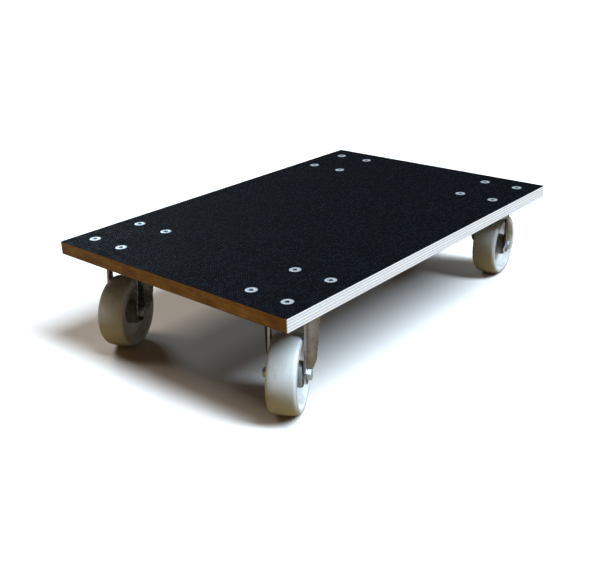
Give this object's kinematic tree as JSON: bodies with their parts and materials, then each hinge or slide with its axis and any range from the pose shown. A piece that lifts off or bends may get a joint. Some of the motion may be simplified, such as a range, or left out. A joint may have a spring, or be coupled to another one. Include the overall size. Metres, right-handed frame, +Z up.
{
  "type": "furniture dolly",
  "caption": "Flat film-faced plywood dolly with a mesh-pattern anti-slip deck, on swivel casters with solid white polyamide wheels.",
  "frame": {"origin": "on the floor under the middle of the deck", "axes": "+X along the deck's long side towards its rear end, +Y across it towards its right-hand side, +Z up out of the load surface"},
  "size_m": [0.6438, 0.416, 0.15],
  "materials": {
    "plywood": "sawn and sealed birch plywood edge",
    "anti_slip_film": "dark phenolic film with a pressed wire-mesh pattern",
    "smooth_film": "smooth dark brown phenolic film",
    "bright_zinc": "bright blue-passivated zinc",
    "zinc_sheet": "zinc-plated pressed sheet steel",
    "ball_steel": "hardened and greased",
    "black_plastic": "moulded",
    "white_polyamide": "turned and moulded, satin"
  },
  "bodies": {
    "deck": {"deck_panel": "plywood", "deck_film_top": "anti_slip_film", "deck_film_bottom": "smooth_film", "deck_bolts": "bright_zinc", "deck_washers": "bright_zinc", "deck_nuts": "bright_zinc", "front_left_mount_plate": "zinc_sheet", "front_left_kingpin": "zinc_sheet", "front_left_lower_race": "zinc_sheet", "front_left_dust_seal": "black_plastic", "front_right_mount_plate": "zinc_sheet", "front_right_kingpin": "zinc_sheet", "front_right_lower_race": "zinc_sheet", "front_right_dust_seal": "black_plastic", "rear_left_mount_plate": "zinc_sheet", "rear_left_kingpin": "zinc_sheet", "rear_left_lower_race": "zinc_sheet", "rear_left_dust_seal": "black_plastic", "rear_right_mount_plate": "zinc_sheet", "rear_right_kingpin": "zinc_sheet", "rear_right_lower_race": "zinc_sheet", "rear_right_dust_seal": "black_plastic"},
    "front_left_ball_set": {"front_left_upper_balls": "ball_steel", "front_left_lower_balls": "ball_steel"},
    "front_left_yoke": {"front_left_fork": "zinc_sheet", "front_left_axle_bolt": "bright_zinc", "front_left_axle_nut": "bright_zinc", "front_left_axle_tube": "bright_zinc"},
    "front_left_roller": {"front_left_wheel": "white_polyamide"},
    "front_right_ball_set": {"front_right_upper_balls": "ball_steel", "front_right_lower_balls": "ball_steel"},
    "front_right_yoke": {"front_right_fork": "zinc_sheet", "front_right_axle_bolt": "bright_zinc", "front_right_axle_nut": "bright_zinc", "front_right_axle_tube": "bright_zinc"},
    "front_right_roller": {"front_right_wheel": "white_polyamide"},
    "rear_left_ball_set": {"rear_left_upper_balls": "ball_steel", "rear_left_lower_balls": "ball_steel"},
    "rear_left_yoke": {"rear_left_fork": "zinc_sheet", "rear_left_axle_bolt": "bright_zinc", "rear_left_axle_nut": "bright_zinc", "rear_left_axle_tube": "bright_zinc"},
    "rear_left_roller": {"rear_left_wheel": "white_polyamide"},
    "rear_right_ball_set": {"rear_right_upper_balls": "ball_steel", "rear_right_lower_balls": "ball_steel"},
    "rear_right_yoke": {"rear_right_fork": "zinc_sheet", "rear_right_axle_bolt": "bright_zinc", "rear_right_axle_nut": "bright_zinc", "rear_right_axle_tube": "bright_zinc"},
    "rear_right_roller": {"rear_right_wheel": "white_polyamide"}
  },
  "joints": [
    {"name": "front_left_swivel", "type": "hinge", "parent": "deck", "child": "front_left_yoke", "pos_m": [-0.2373, -0.1492, 0.118], "axis": [0, 0, 1], "continuous": true},
    {"name": "front_left_ball_orbit", "type": "hinge", "parent": "deck", "child": "front_left_ball_set", "pos_m": [-0.2373, -0.1492, 0.1245], "axis": [0, 0, 1], "continuous": true},
    {"name": "front_left_wheel_spin", "type": "hinge", "parent": "front_left_yoke", "child": "front_left_roller", "pos_m": [-0.26826, -0.16708, 0.05], "axis": [0.5, -0.866, 0], "continuous": true},
    {"name": "front_right_swivel", "type": "hinge", "parent": "deck", "child": "front_right_yoke", "pos_m": [-0.2373, 0.1492, 0.118], "axis": [0, 0, 1], "continuous": true},
    {"name": "front_right_ball_orbit", "type": "hinge", "parent": "deck", "child": "front_right_ball_set", "pos_m": [-0.2373, 0.1492, 0.1245], "axis": [0, 0, 1], "continuous": true},
    {"name": "front_right_wheel_spin", "type": "hinge", "parent": "front_right_yoke", "child": "front_right_roller", "pos_m": [-0.26996, 0.13466, 0.05], "axis": [0.4067, -0.9135, 0], "continuous": true},
    {"name": "rear_left_swivel", "type": "hinge", "parent": "deck", "child": "rear_left_yoke", "pos_m": [0.2373, -0.1492, 0.118], "axis": [0, 0, 1], "continuous": true},
    {"name": "rear_left_ball_orbit", "type": "hinge", "parent": "deck", "child": "rear_left_ball_set", "pos_m": [0.2373, -0.1492, 0.1245], "axis": [0, 0, 1], "continuous": true},
    {"name": "rear_left_wheel_spin", "type": "hinge", "parent": "rear_left_yoke", "child": "rear_left_roller", "pos_m": [0.27271, -0.14429, 0.05], "axis": [-0.1374, 0.9905, 0], "continuous": true},
    {"name": "rear_right_swivel", "type": "hinge", "parent": "deck", "child": "rear_right_yoke", "pos_m": [0.2373, 0.1492, 0.118], "axis": [0, 0, 1], "continuous": true},
    {"name": "rear_right_ball_orbit", "type": "hinge", "parent": "deck", "child": "rear_right_ball_set", "pos_m": [0.2373, 0.1492, 0.1245], "axis": [0, 0, 1], "continuous": true},
    {"name": "rear_right_wheel_spin", "type": "hinge", "parent": "rear_right_yoke", "child": "rear_right_roller", "pos_m": [0.27167, 0.15905, 0.05], "axis": [-0.2756, 0.9613, 0], "continuous": true}
  ],
  "couplings": [
    {"joint": "front_left_ball_orbit", "follows": "front_left_swivel", "ratio": 0.5},
    {"joint": "front_right_ball_orbit", "follows": "front_right_swivel", "ratio": 0.5},
    {"joint": "rear_left_ball_orbit", "follows": "rear_left_swivel", "ratio": 0.5},
    {"joint": "rear_right_ball_orbit", "follows": "rear_right_swivel", "ratio": 0.5}
  ]
}
